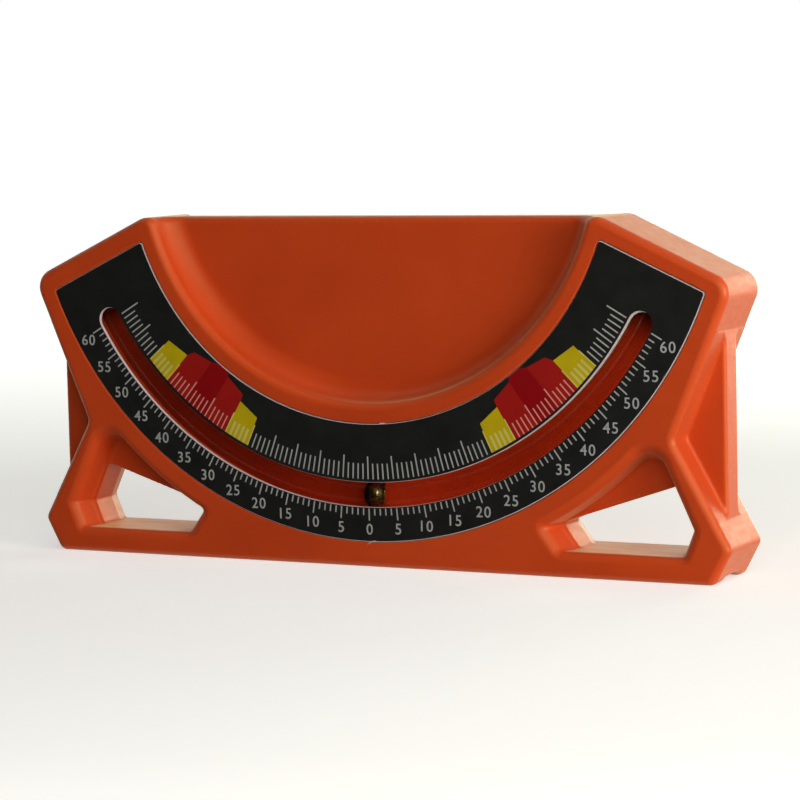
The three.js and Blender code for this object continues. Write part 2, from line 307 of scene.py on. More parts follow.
def outer_case(across, inward, up, draft):
    """The whole moulding before its dish, pockets and recess are cut"""
    high = high_side.out(across, up)
    low = low_side.out(across, up)
    waist_cosine = high_side.cosine(low_side)
    walls = join(high - NOTCH_DRAFT * draft, low - NOTCH_DRAFT * draft, WAIST_RADIUS, waist_cosine)
    web = meet(across - WEB_SIDE, inward - HALF_WEB, WEB_EDGE_RADIUS)
    undrafted = np.minimum(join(high, low, WAIST_RADIUS, waist_cosine), across - WEB_SIDE)
    sides = np.maximum(join(walls, web, WAIST_FILLET), undrafted)

    slope = slope_side.out(across, up)
    sides = meet(sides, slope, SHOULDER_RADIUS, high_side.cosine(slope_side))
    sides = meet(sides, top_side.out(across, up), TOP_CORNER_RADIUS, slope_side.cosine(top_side))
    sides = meet(sides, foot_side.out(across, up), CORNER_RADIUS, low_side.cosine(foot_side))
    sides = meet(sides, base_side.out(across, up), CORNER_RADIUS, foot_side.cosine(base_side))
    return meet(sides, inward - HALF_DEPTH, EDGE_RADIUS)


def towards_centre(point):
    """The direction from a point of the outline to the dial's centre"""
    way = np.array([0, DIAL_CENTRE_Z]) - point
    return way / np.linalg.norm(way)


def pocket_walls(across, up, rho, draft):
    """The four upright walls of a strap pocket, which lean in by the draft"""
    lean = POCKET_DRAFT * draft
    walls = meet(
        POCKET_ARC_RADIUS - rho + POCKET_ARC_DRAFT * draft,
        pocket_outer_side.out(across, up) + lean,
        POCKET_TOP_RADIUS,
        float(towards_centre(pocket_top) @ pocket_outer_side.outward),
    )
    walls = meet(
        walls,
        pocket_corner_side.out(across, up) + lean,
        POCKET_CORNER_RADIUS,
        pocket_outer_side.cosine(pocket_corner_side),
    )
    return meet(
        walls,
        pocket_inner_side.out(across, up) + lean,
        POCKET_CORNER_RADIUS,
        float(towards_centre(pocket_tip) @ pocket_inner_side.outward),
    )


def pocket_and_hole(across, inward, up, rho, draft):
    """The drafted strap pocket and the hole through the web in its lower part, over one floor"""
    pocket = meet(pocket_walls(across, up, rho, draft), HALF_WEB - inward, POCKET_COVE)
    hole = meet(
        pocket_walls(across, up, rho, 1),
        hole_side.out(across, up),
        HOLE_CORNER_RADIUS,
        hole_side.cosine(pocket_outer_side),
    )
    floor = POCKET_FLOOR + POCKET_FLOOR_DRAFT * draft - up
    floor_cosine = pocket_floor_side.cosine(pocket_corner_side)
    return meet(join(pocket, hole, HOLE_EDGE_RADIUS), floor, POCKET_CORNER_RADIUS, floor_cosine)


def sheet_outline(across, up, rho):
    """The dial sheet's outline, as a field across and up"""
    end = slope_side.out(across, up) + SHEET_END_RIM
    lean = across * slope_side.outward[0] + (up - DIAL_CENTRE_Z) * slope_side.outward[1]
    cosine = lean / rho
    outer = meet(rho - SHEET_OUTER, end, SHEET_CORNER, cosine)
    inner = meet(SHEET_INNER - rho, end, SHEET_CORNER, -cosine)
    return np.maximum(outer, inner)


def housing_field(x, y, z):
    across = np.abs(x)
    inward = np.abs(y)
    rho = np.hypot(x, z - DIAL_CENTRE_Z)
    draft = np.clip((HALF_DEPTH - inward) / (HALF_DEPTH - HALF_WEB), 0, 1)

    case = outer_case(across, inward, z, draft)
    dish = meet(rho - DISH_RADIUS + DISH_LEAN * draft, HALF_WEB - inward, DISH_COVE)
    case = carve(case, dish, DISH_EDGE_RADIUS)
    case = carve(case, pocket_and_hole(across, inward, z, rho, draft), POCKET_EDGE_RADIUS)

    angle = np.arctan2(x, DIAL_CENTRE_Z - z)
    turned_back = angle - SHEET_TURN
    sheet = sheet_outline(
        np.abs(rho * np.sin(turned_back)), DIAL_CENTRE_Z - rho * np.cos(turned_back), rho
    )
    recess = np.maximum(sheet - RECESS_GAP, y - RECESS_FLOOR)
    case = carve(case, recess, RECESS_EDGE_RADIUS)
    section = np.hypot(rho - ARC_RADIUS, np.maximum(y - TUBE_Y, 0)) - GROOVE_RADIUS
    along = np.abs(angle) * ARC_RADIUS - GROOVE_END
    case = carve(case, np.maximum(section, along), GROOVE_EDGE_RADIUS)

    half_groove = HALF_DEPTH - EDGE_RADIUS - RAIL_WIDTH
    pole_drop = math.sqrt(POLE_RADIUS**2 - half_groove**2)
    return carve(case, np.hypot(y, z + pole_drop) - POLE_RADIUS, GROOVE_EDGE_RADIUS)


# From a field to a mesh

def graded(start, end, fine_places):
    """Places from start to end, closer together near the edges that need it"""
    places = [start]
    while places[-1] < end:
        near = any(abs(places[-1] - place) < FINE_REACH for place in fine_places)
        places.append(places[-1] + (FINE_STEP if near else FIELD_STEP))
    return np.array(places)


def net_vertices(values, cells):
    """For each crossed cell, the mean of the places where the surface cuts its edges"""
    total = np.zeros((len(cells), 3))
    hits = np.zeros(len(cells))
    for axis in range(3):
        for second, third in product((0, 1), repeat=2):
            start = cells.copy()
            start[:, (axis + 1) % 3] += second
            start[:, (axis + 2) % 3] += third
            end = start.copy()
            end[:, axis] += 1
            low = values[tuple(start.T)]
            high = values[tuple(end.T)]
            cut = (low < 0) != (high < 0)
            place = start.astype(float)
            place[:, axis] += low / np.where(cut, low - high, 1)
            total[cut] += place[cut]
            hits += cut
    return total / hits[:, None]


def surface_net(values):
    """Vertices in grid coordinates, and a quad round each grid edge that the surface crosses"""
    inside = values < 0
    corners = list(product((0, 1), repeat=3))
    count = sum(
        inside[tuple(slice(1, None) if far else slice(0, -1) for far in corner)].astype(np.int8)
        for corner in corners
    )
    crossed = (count > 0) & (count < len(corners))
    cells = np.argwhere(crossed)
    number = np.full(crossed.shape, -1)
    number[crossed] = np.arange(len(cells))

    quads = []
    for axis in range(3):
        second, third = (axis + 1) % 3, (axis + 2) % 3
        low = [slice(1, -1)] * 3
        low[axis] = slice(0, -1)
        high = list(low)
        high[axis] = slice(1, None)
        starts = np.argwhere(inside[tuple(low)] != inside[tuple(high)])
        starts[:, second] += 1
        starts[:, third] += 1
        ring = []
        for back_second, back_third in ((1, 1), (0, 1), (0, 0), (1, 0)):
            cell = starts.copy()
            cell[:, second] -= back_second
            cell[:, third] -= back_third
            ring.append(number[tuple(cell.T)])
        ring = np.stack(ring, axis=1)
        faces_back = ~inside[tuple(starts.T)]
        ring[faces_back] = ring[faces_back][:, ::-1]
        quads.append(ring)
    return net_vertices(values, cells), np.concatenate(quads)


def slope_of(field, points):
    """The field's gradient, by differences"""
    reach = 0.02
    steps = reach * np.eye(3)
    return np.stack(
        [(field(*(points + step).T) - field(*(points - step).T)) / (2 * reach) for step in steps],
        axis=1,
    )


def settle(field, points):
    """Moves points on to the surface"""
    for _ in range(SETTLE_ROUNDS):
        slope = slope_of(field, points)
        size = np.maximum((slope**2).sum(axis=1), LEAST_SLOPE_SQUARED)
        shift = field(*points.T) / size
        points = points - np.clip(shift, -FIELD_STEP, FIELD_STEP)[:, None] * slope
    return points


def curvature_of(field, points):
    """How sharply the surface turns, per millimetre: positive on outer edges, negative in corners"""
    reach = 0.05
    neighbours = 6
    total = -neighbours * field(*points.T)
    for step in reach * np.eye(3):
        total += field(*(points + step).T) + field(*(points - step).T)
    return total / reach**2


# Blender objects

def new_object(name, data):
    made = bpy.data.objects.new(name, data)
    bpy.context.scene.collection.objects.link(made)
    return made


def add_object(name, mesh, body, stands_for=None):
    piece = new_object(name, mesh)
    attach(piece, body)
    if stands_for:
        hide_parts(stands_for)
    return piece


def mesh_of(name, points, faces):
    """A smooth-shaded mesh from points in millimetres"""
    mesh = bpy.data.meshes.new(name)
    mesh.from_pydata((np.asarray(points) * MM).tolist(), [], np.asarray(faces).tolist())
    mesh.shade_smooth()
    return mesh


def mesh_from(curve):
    """A curve's or a text's filled shape as a mesh, in its place"""
    holder = new_object(curve.name, curve)
    drawn = holder.evaluated_get(bpy.context.evaluated_depsgraph_get())
    mesh = bpy.data.meshes.new_from_object(drawn)
    bpy.data.objects.remove(holder)
    bpy.data.curves.remove(curve)
    return mesh


def give_finish(mesh, finish):
    mesh.materials.clear()
    mesh.materials.append(finish)


def make_housing(finish):
    """The moulding is sampled on a grid of rings about the dial's centre, so that its round edges
    follow the grid"""
    rims = [
        SHEET_INNER - RECESS_GAP,
        ARC_RADIUS - GROOVE_RADIUS,
        ARC_RADIUS + GROOVE_RADIUS,
        SHEET_OUTER + RECESS_GAP,
    ]
    rho = graded(
        DIAL_CENTRE_Z - CASE_HEIGHT - GRID_MARGIN,
        math.hypot(base_corner[0], DIAL_CENTRE_Z) + GRID_MARGIN,
        rims,
    )
    depth = graded(-HALF_DEPTH - GRID_MARGIN, HALF_DEPTH + GRID_MARGIN, [-HALF_DEPTH + RECESS_EDGE_RADIUS])
    widest = math.atan2(top_corner[0], DIAL_CENTRE_Z - CASE_HEIGHT) + TURN_STEP
    turns = np.linspace(-widest, widest, 2 * round(widest / TURN_STEP) + 1)

    r, y, turn = np.meshgrid(rho, depth, turns, indexing="ij", sparse=True)
    values = housing_field(r * np.sin(turn), y, DIAL_CENTRE_Z - r * np.cos(turn))
    places, quads = surface_net(values)

    r, y, turn = (
        np.interp(places[:, i], np.arange(len(line)), line)
        for i, line in enumerate((rho, depth, turns))
    )
    points = np.stack([r * np.sin(turn), y, DIAL_CENTRE_Z - r * np.cos(turn)], axis=1)
    points = settle(housing_field, points)
    mesh = mesh_of("moulded_case", points, quads)
    mesh.materials.append(finish)
    normals = slope_of(housing_field, points)
    normals /= np.linalg.norm(normals, axis=1)[:, None]
    mesh.normals_split_custom_set_from_vertices(normals.tolist())
    curvature = mesh.attributes.new("curvature", "FLOAT", "POINT")
    curvature.data.foreach_set("value", curvature_of(housing_field, points))
    add_object("moulded_case", mesh, "case", "housing")


def dial_arc(radius, start, end):
    steps = max(1, round(abs(end - start) / ARC_STEP))
    return [dial_point(radius, start + (end - start) * i / steps) for i in range(steps + 1)]


def dial_angle(point):
    return math.atan2(point[0], DIAL_CENTRE_Z - point[1])


def crossing(side, inset, radius):
    """Where a side, moved inwards, crosses a circle about the dial's centre, on the right"""
    centre = np.array([0, DIAL_CENTRE_Z])
    start = side.start - side.outward * inset
    nearest = start + side.along * ((centre - start) @ side.along)
    half = math.sqrt(radius**2 - np.sum((nearest - centre) ** 2))
    return nearest - side.along * half


def corner_arc(before, corner, after, radius):
    """An arc in place of a corner"""
    to_before = (before - corner) / np.linalg.norm(before - corner)
    to_after = (after - corner) / np.linalg.norm(after - corner)
    half_angle = math.acos(to_before @ to_after) / 2
    inward = (to_before + to_after) / np.linalg.norm(to_before + to_after)
    centre = corner + inward * radius / math.sin(half_angle)
    start = corner + to_before * radius / math.tan(half_angle) - centre
    end = corner + to_after * radius / math.tan(half_angle) - centre
    turn = math.atan2(start[0] * end[1] - start[1] * end[0], start @ end)
    steps = 8
    return [
        centre + np.array(Matrix.Rotation(turn * i / steps, 2)) @ start for i in range(steps + 1)
    ]


def with_tab(radius, angle, height):
    """Points that lead over a small tab on a round edge"""
    half = TAB_WIDTH / 2 / radius
    lead = half / 2
    return [
        dial_point(radius, angle - half),
        dial_point(radius + height, angle - lead),
        dial_point(radius + height, angle + lead),
        dial_point(radius, angle + half),
    ]


def turned(point):
    """A point of the sheet, moved round the dial's centre by the sheet's turn"""
    centre = np.array([0, DIAL_CENTRE_Z])
    return centre + np.array(Matrix.Rotation(SHEET_TURN, 2)) @ (point - centre)


def sheet_loops(inset, slot_inset, with_inner_tab=False):
    """The sheet's outline and its slot, with every edge moved in"""
    outer = SHEET_OUTER - inset
    inner = SHEET_INNER + inset
    outer_end = crossing(slope_side, SHEET_END_RIM + inset, outer)
    inner_end = crossing(slope_side, SHEET_END_RIM + inset, inner)
    outer_angle = dial_angle(outer_end)
    inner_angle = dial_angle(inner_end)
    right_corners = corner_arc(dial_arc(outer, 0, outer_angle)[-2], outer_end, inner_end, SHEET_CORNER)
    right_corners += corner_arc(outer_end, inner_end, dial_arc(inner, 0, inner_angle)[-2], SHEET_CORNER)
    left_corners = [point * np.array([-1, 1]) for point in reversed(right_corners)]
    outer_stop = dial_angle(right_corners[0])
    inner_stop = dial_angle(right_corners[-1])
    outer_run = dial_arc(outer, -outer_stop, outer_stop)[1:-1]
    if with_inner_tab:
        half = TAB_WIDTH / 2 / inner
        inner_run = dial_arc(inner, -inner_stop, INNER_TAB_ANGLE - half)[1:-1]
        inner_run += with_tab(inner, INNER_TAB_ANGLE, -TAB_HEIGHT)
        inner_run += dial_arc(inner, INNER_TAB_ANGLE + half, inner_stop)[1:-1]
    else:
        inner_run = dial_arc(inner, -inner_stop, inner_stop)[1:-1]
    outline = [turned(point) for point in outer_run + right_corners + inner_run[::-1] + left_corners]

    half_slot = SLOT_WIDTH / 2 + slot_inset
    low, high = SHEET_TURN - SLOT_SWEEP, SHEET_TURN + SLOT_SWEEP
    slot = dial_arc(SLOT_RADIUS + half_slot, low, high)
    slot += slot_end(half_slot, high, 1)
    slot += dial_arc(SLOT_RADIUS - half_slot, high, low)
    slot += slot_end(half_slot, low, -1)
    return [outline, slot]


def slot_end(radius, angle, sign):
    """The round end of the slot, from its outer edge to its inner one on the right, and back on the left"""
    centre = dial_point(SLOT_RADIUS, angle)
    first = dial_point(SLOT_RADIUS + sign * radius, angle) - centre
    steps = 16
    return [
        centre + np.array(Matrix.Rotation(math.pi * i / steps, 2)) @ first for i in range(1, steps)
    ]


def flat_mesh(name, loops, front, back, bevel=0.0):
    """Closed loops, across and up, filled and given a thickness between two depths"""
    curve = bpy.data.curves.new(name, "CURVE")
    curve.dimensions = "2D"
    curve.fill_mode = "BOTH"
    curve.extrude = ((back - front) / 2 - bevel) * MM
    curve.bevel_depth = bevel * MM
    curve.bevel_resolution = 1
    curve.offset = -bevel * MM
    for loop in loops:
        spline = curve.splines.new("POLY")
        spline.points.add(len(loop) - 1)
        for point, place in zip(spline.points, loop):
            point.co = (place[0] * MM, place[1] * MM, 0, 1)
        spline.use_cyclic_u = True
    mesh = mesh_from(curve)
    mesh.name = name
    middle = (front + back) / 2 * MM
    mesh.transform(Matrix.Translation((0, middle, 0)) @ Matrix.Rotation(math.pi / 2, 4, "X"))
    return tidy(mesh)


def tidy(mesh):
    made = bmesh.new()
    made.from_mesh(mesh)
    bmesh.ops.remove_doubles(made, verts=made.verts, dist=MERGE_REACH * MM)
    bmesh.ops.recalc_face_normals(made, faces=made.faces)
    made.to_mesh(mesh)
    made.free()
    return mesh


def printed(name, loops, level, finish):
    """A layer of ink, which stands out further the higher its level"""
    front = INK_FACE - (level + 1) * INK_THICKNESS
    mesh = flat_mesh(name, loops, front, INK_FACE + INK_THICKNESS)
    give_finish(mesh, finish)
    return add_object(name, mesh, "case")


def print_point(radius, degrees):
    return dial_point(radius, math.radians(degrees) + SHEET_TURN)


def zone_loops(zones):
    """Both arms' outlines, whose feet follow the scale's round edge"""
    loops = []
    for sign in (-1, 1):
        for corners in zones:
            first, last = corners[0], corners[-1]
            foot_run = np.linspace(last[0], first[0], 1 + round(abs(first[0] - last[0]) / ZONE_STEP))
            run = [(degrees, first[1]) for degrees in foot_run] + list(corners[1:-1])
            loops.append([print_point(radius, sign * degrees) for degrees, radius in run])
    return loops


def tick(degrees, start, end, width=TICK_WIDTH):
    foot_middle = print_point(start, degrees)
    tip_middle = print_point(end, degrees)
    along = (tip_middle - foot_middle) / np.linalg.norm(tip_middle - foot_middle)
    half = np.array([-along[1], along[0]]) * width / 2
    return [foot_middle - half, tip_middle - half, tip_middle + half, foot_middle + half]


def zone_of(degrees):
    """Which ink lies under the inner scale at an angle"""
    place = abs(degrees)
    if any(start <= place <= end for start, end in YELLOW_DEGREES):
        return "yellow"
    if RED_DEGREES[0] < place < RED_DEGREES[1]:
        return "red"
    return "black"


def inner_tick(degrees):
    long = degrees % LONG_TICK_EVERY == 0
    width = BROAD_TICK_WIDTH if zone_of(degrees) == "yellow" and not long else TICK_WIDTH
    return tick(degrees, INNER_SCALE_FOOT, INNER_LONG_TICK if long else INNER_SHORT_TICK, width)


def outer_tick(degrees):
    long = degrees % LONG_TICK_EVERY == 0
    return tick(degrees, OUTER_SCALE_FOOT, OUTER_LONG_TICK if long else OUTER_SHORT_TICK)


def make_scales(finishes):
    scale = range(-SCALE_LIMIT, SCALE_LIMIT + 1)
    plain = [outer_tick(degrees) for degrees in scale]
    plain += [inner_tick(degrees) for degrees in scale if zone_of(degrees) == "black"]
    printed("scale_lines", plain, 2, finishes["grey"])
    for zone in ("yellow", "red"):
        lines = [inner_tick(degrees) for degrees in scale if zone_of(degrees) == zone]
        printed(f"scale_lines_on_{zone}", lines, 2, finishes[f"pale_{zone}"])


def numeral_mesh(label):
    """A number as a flat mesh of the scale's numeral height, centred on the origin"""
    curve = bpy.data.curves.new("numeral", "FONT")
    curve.body = label
    curve.extrude = INK_THICKNESS * MM
    curve.resolution_u = NUMERAL_CURVE_STEPS
    curve.offset = NUMERAL_BOLD
    curve.space_character = NUMERAL_SPACING
    mesh = mesh_from(curve)
    low = Vector(map(min, *(v.co for v in mesh.vertices)))
    high = Vector(map(max, *(v.co for v in mesh.vertices)))
    scale = NUMERAL_HEIGHT * MM / (high.y - low.y)
    mesh.transform(Matrix.Translation(-(low + high) / 2))
    mesh.transform(Matrix.Diagonal((scale, scale, 1, 1)))
    return mesh


def make_numerals(finish):
    """Upright numbers every five degrees"""
    made = bmesh.new()
    level = INK_FACE - 2 * INK_THICKNESS
    for degrees in range(-SCALE_LIMIT, SCALE_LIMIT + 1, LONG_TICK_EVERY):
        lag = math.sin(2 * math.radians(degrees)) * NUMERAL_LAG / NUMERAL_RADIUS
        across, up = print_point(NUMERAL_RADIUS, degrees - math.degrees(lag))
        mesh = numeral_mesh(str(abs(degrees)))
        place = Matrix.Translation(Vector((across, level, up)) * MM)
        mesh.transform(place @ Matrix.Rotation(math.pi / 2, 4, "X"))
        made.from_mesh(mesh)
    bmesh.ops.remove_doubles(made, verts=made.verts, dist=NUMERAL_MERGE_REACH * MM)
    bmesh.ops.recalc_face_normals(made, faces=made.faces)
    mesh = bpy.data.meshes.new("scale_numbers")
    made.to_mesh(mesh)
    made.free()
    give_finish(mesh, finish)
    add_object("scale_numbers", mesh, "case")


def make_dial(finishes):
    core = flat_mesh("dial_sheet", sheet_loops(0, 0, with_inner_tab=True), INK_FACE, SHEET_BACK, SHEET_BEVEL)
    give_finish(core, finishes["sheet"])
    add_object("dial_sheet", core, "case", "dial_plate")
    black_loops = [[point + INK_SHIFT for point in loop] for loop in sheet_loops(INK_INSET, SLOT_INK_INSET)]
    black = printed("black_ink", black_loops, 0, finishes["black"])
    printed("yellow_zones", zone_loops(YELLOW_ZONES), 1, finishes["yellow"])
    printed("red_zones", zone_loops(RED_ZONES), 1, finishes["red"])
    printed("dark_red_zones", zone_loops(DARK_ZONES), 1, finishes["dark_red"])
    make_scales(finishes)
    make_numerals(finishes["grey"])
    make_edge_curl(finishes["sheet"])


def make_edge_curl(finish):
    """A thin curl that hangs from the sheet's lower edge, widest at its root"""
    steps = 10
    near_side, far_side = [], []
    for i in range(steps + 1):
        share = i / steps
        angle = CURL_START + (CURL_END - CURL_START) * share
        radius = SHEET_OUTER - INK_INSET + CURL_REACH * share**2
        half = CURL_WIDTH / 2 * (1 - share**3)
        near_side.append(dial_point(radius - half, angle))
        far_side.append(dial_point(radius + half, angle))
    loop = near_side + far_side[-2::-1]
    curl = flat_mesh("sheet_edge_curl", [loop], -HALF_DEPTH - CURL_LIFT, -HALF_DEPTH + CURL_LIFT)
    give_finish(curl, finish)
    add_object("sheet_edge_curl", curl, "case")


def tube_ring(radius, along):
    angle = along / ARC_RADIUS
    ring = []
    for i in range(TUBE_SIDES):
        turn = 2 * math.pi * i / TUBE_SIDES
        place = dial_point(ARC_RADIUS + radius * math.sin(turn), angle)
        ring.append((place[0], TUBE_Y - radius * math.cos(turn), place[1]))
    return ring


def make_tube(outside_finish, bore_finish):
    """Outside from one end to the other, and back through the bore"""
    run = np.linspace(-TUBE_END + TUBE_END_ROUND, TUBE_END - TUBE_END_ROUND, TUBE_STEPS + 1)
    stations = [(TUBE_RADIUS - TUBE_END_ROUND, -TUBE_END)]
    stations += [(TUBE_RADIUS, along) for along in run]
    stations += [(TUBE_RADIUS - TUBE_END_ROUND, TUBE_END)]
    outside_count = len(stations)
    stations += [(BORE_RADIUS + TUBE_END_ROUND, TUBE_END)]
    stations += [(BORE_RADIUS, along) for along in run[::-1]]
    stations += [(BORE_RADIUS + TUBE_END_ROUND, -TUBE_END)]
    points = [point for radius, along in stations for point in tube_ring(radius, along)]
    faces = []
    for i in range(len(stations)):
        this_ring = i * TUBE_SIDES
        next_ring = (i + 1) % len(stations) * TUBE_SIDES
        for j in range(TUBE_SIDES):
            k = (j + 1) % TUBE_SIDES
            faces.append((this_ring + j, this_ring + k, next_ring + k, next_ring + j))
    mesh = tidy(mesh_of("curved_tube", points, faces))
    mesh.materials.append(outside_finish)
    mesh.materials.append(bore_finish)
    for polygon in mesh.polygons:
        ring = min(vertex // TUBE_SIDES for vertex in polygon.vertices)
        polygon.material_index = int(outside_count <= ring < len(stations) - 1)
    mesh.shade_smooth()
    tube = add_object("curved_tube", mesh, "case", "vial_tube")
    tube.visible_shadow = False  # so that light reaches the groove behind the slot


def make_ball(finish):
    """A cube's grid blown up to a sphere, so that no pole shows"""
    made = bmesh.new()
    bmesh.ops.create_cube(made, size=2)
    bmesh.ops.subdivide_edges(made, edges=made.edges, cuts=BALL_CUTS, use_grid_fill=True)
    centre = Vector((0, TUBE_Y, DIAL_CENTRE_Z - ARC_RADIUS)) * MM
    for vertex in made.verts:
        outward = Vector([math.tan(part * math.pi / 4) for part in vertex.co])
        vertex.co = centre + outward.normalized() * BALL_RADIUS * MM
    mesh = bpy.data.meshes.new("steel_ball")
    made.to_mesh(mesh)
    made.free()
    mesh.shade_smooth()
    mesh.materials.append(finish)
    add_object("steel_ball", mesh, "ball", "ball")


# Finishes

NOISE_LOW = 0.3
NOISE_HIGH = 0.7
INK_SMOOTHER = 0.05
INK_ROUGHER = 0.08
PLASTIC_IOR = 1.49
LIQUID_IOR = 1.45


def new_finish(name):
    material = bpy.data.materials.new(name)
    material.use_nodes = True
    tree = material.node_tree
    return material, tree, tree.nodes["Principled BSDF"]


def connect(tree, value, socket):
    if isinstance(value, bpy.types.NodeSocket):
        tree.links.new(value, socket)
    else:
        socket.default_value = value


def noise(tree, grain, detail=3.0, stretch=(1, 1, 1)):
    """Noise from 0 to 1, whose lumps are about the grain across, in millimetres"""
    place = tree.nodes.new("ShaderNodeTexCoord").outputs["Object"]
    mapping = tree.nodes.new("ShaderNodeMapping")
    mapping.inputs["Scale"].default_value = stretch
    tree.links.new(place, mapping.inputs["Vector"])
    texture = tree.nodes.new("ShaderNodeTexNoise")
    texture.inputs["Scale"].default_value = 1 / (grain * MM)
    texture.inputs["Detail"].default_value = detail
    tree.links.new(mapping.outputs[0], texture.inputs["Vector"])
    return texture.outputs[0]


def spread(tree, value, low, high, to_low=0.0, to_high=1.0):
    """A value's range from low to high laid out over another range"""
    node = tree.nodes.new("ShaderNodeMapRange")
    for socket, part in zip(node.inputs, (value, low, high, to_low, to_high)):
        connect(tree, part, socket)
    return node.outputs[0]


def evened(tree, rough_noise, to_low=0.0, to_high=1.0):
    """Noise, whose values lie mostly near its middle, laid out over a range"""
    return spread(tree, rough_noise, NOISE_LOW, NOISE_HIGH, to_low, to_high)


def blend(tree, share, first, second):
    """A mix of two colours"""
    node = tree.nodes.new("ShaderNodeMix")
    node.data_type = "RGBA"
    connect(tree, share, node.inputs[0])
    connect(tree, first, node.inputs[6])  # sockets 6 and 7 are the ones for colours
    connect(tree, second, node.inputs[7])
    return node.outputs[2]


def calculate(tree, operation, first, second):
    node = tree.nodes.new("ShaderNodeMath")
    node.operation = operation
    connect(tree, first, node.inputs[0])
    connect(tree, second, node.inputs[1])
    return node.outputs[0]


def bump(tree, height, depth, below=None):
    """Relief of a depth in millimetres; it can lie on another relief"""
    node = tree.nodes.new("ShaderNodeBump")
    node.inputs["Strength"].default_value = 1.0
    node.inputs["Distance"].default_value = depth * MM
    tree.links.new(height, node.inputs["Height"])
    if below:
        tree.links.new(below, node.inputs["Normal"])
    return node.outputs[0]


def worn_edges(tree):
    """Wear and a painted highlight along rounded outer edges: more the sharper an outer edge turns, but 0 on
    flat faces and again on the finest edges
    """
    curvature = tree.nodes.new("ShaderNodeAttribute")
    curvature.attribute_name = "curvature"
    turning = curvature.outputs["Fac"]
    rounded = spread(tree, turning, low=0.3, high=1.6)
    not_too_fine = spread(tree, turning, low=3.4, high=2.4)
    return calculate(tree, "MULTIPLY", rounded, not_too_fine)


def orange_plastic():
    material, tree, shader = new_finish("orange_plastic")
    mottle = noise(tree, grain=14, detail=2)
    grain = noise(tree, grain=0.5, detail=4)
    scuffs = noise(tree, grain=1.2, detail=5, stretch=(0.25, 1, 2.5))
    waves = noise(tree, grain=7, detail=1)
    deep = (0.57, 0.049, 0.0065, 1)
    bright = (0.63, 0.058, 0.008, 1)
    # lighter orange on rounded outer edges: partly wear, partly a painted edge highlight
    worn_and_highlit = (0.65, 0.072, 0.012, 1)
    colour = blend(tree, spread(tree, mottle, low=0.35, high=0.65), deep, bright)
    colour = blend(tree, worn_edges(tree), colour, worn_and_highlit)
    connect(tree, colour, shader.inputs["Base Color"])
    rough = spread(tree, scuffs, low=0.35, high=0.7, to_low=0.40, to_high=0.52)
    connect(tree, rough, shader.inputs["Roughness"])
    relief = bump(tree, grain, depth=0.006)
    relief = bump(tree, waves, depth=0.05, below=relief)
    connect(tree, relief, shader.inputs["Normal"])
    shader.inputs["Specular IOR Level"].default_value = 0.5
    shader.inputs["Specular Tint"].default_value = (1, 0.95, 0.55, 1)
    shader.inputs["Sheen Weight"].default_value = 0.5
    shader.inputs["Sheen Roughness"].default_value = 0.35
    shader.inputs["Sheen Tint"].default_value = (1, 0.85, 0.45, 1)
    return material


def ink(name, light, dark, roughness=0.42):
    """Screen-printed ink: a little uneven in tone and gloss"""
    material, tree, shader = new_finish(name)
    tone = noise(tree, grain=2.5, detail=6)
    grain = noise(tree, grain=0.18, detail=3)
    connect(tree, blend(tree, evened(tree, tone), light, dark), shader.inputs["Base Color"])
    gloss = noise(tree, grain=5, detail=4)
    rough = evened(tree, gloss, roughness - INK_SMOOTHER, roughness + INK_ROUGHER)
    connect(tree, rough, shader.inputs["Roughness"])
    connect(tree, bump(tree, grain, depth=0.002), shader.inputs["Normal"])
    shader.inputs["Specular IOR Level"].default_value = 0.2
    return material


def clear_plastic(name, ior, light, dark):
    """Polished clear plastic with a faint haze"""
    material, tree, shader = new_finish(name)
    haze = noise(tree, grain=1.5, detail=4)
    rough = spread(tree, haze, low=0.3, high=0.8, to_low=0.02, to_high=0.07)
    connect(tree, rough, shader.inputs["Roughness"])
    tint = blend(tree, evened(tree, haze), light, dark)
    connect(tree, tint, shader.inputs["Base Color"])
    shader.inputs["Transmission Weight"].default_value = 1.0
    shader.inputs["IOR"].default_value = ior
    return material


def polished_steel():
    material, tree, shader = new_finish("polished_steel")
    lapping = noise(tree, grain=0.12, detail=6, stretch=(1, 5, 1))
    tone = evened(tree, noise(tree, grain=0.8))
    # the dark olive tone is a painted reflection of dark, warm surroundings, not the steel's own colour
    dark = (0.28, 0.32, 0.11, 1)
    light = (0.34, 0.38, 0.15, 1)
    connect(tree, blend(tree, tone, dark, light), shader.inputs["Base Color"])
    connect(tree, evened(tree, lapping, to_low=0.12, to_high=0.24), shader.inputs["Roughness"])
    connect(tree, bump(tree, lapping, depth=0.0008), shader.inputs["Normal"])
    shader.inputs["Metallic"].default_value = 1.0
    return material


def plug_rubber():
    material, tree, shader = new_finish("plug_rubber")
    grain = noise(tree, grain=0.25, detail=5)
    dark = (0.015, 0.015, 0.016, 1)
    light = (0.035, 0.034, 0.033, 1)
    connect(tree, blend(tree, evened(tree, grain), dark, light), shader.inputs["Base Color"])
    connect(tree, evened(tree, grain, to_low=0.65, to_high=0.85), shader.inputs["Roughness"])
    connect(tree, bump(tree, grain, depth=0.02), shader.inputs["Normal"])
    return material


def adhesive_film():
    material, tree, shader = new_finish("adhesive_film")
    streaks = noise(tree, grain=1.5, detail=5, stretch=(1, 1, 0.2))
    dark = (0.70, 0.66, 0.60, 1)
    light = (0.82, 0.79, 0.74, 1)
    connect(tree, blend(tree, evened(tree, streaks), dark, light), shader.inputs["Base Color"])
    connect(tree, evened(tree, streaks, to_low=0.4, to_high=0.65), shader.inputs["Roughness"])
    connect(tree, bump(tree, streaks, depth=0.01), shader.inputs["Normal"])
    return material


def dress(node, finish):
    """Gives a node of the frame its finish"""
    give_finish(frame["nodes"][node].data, finish)


# Camera, floor and light

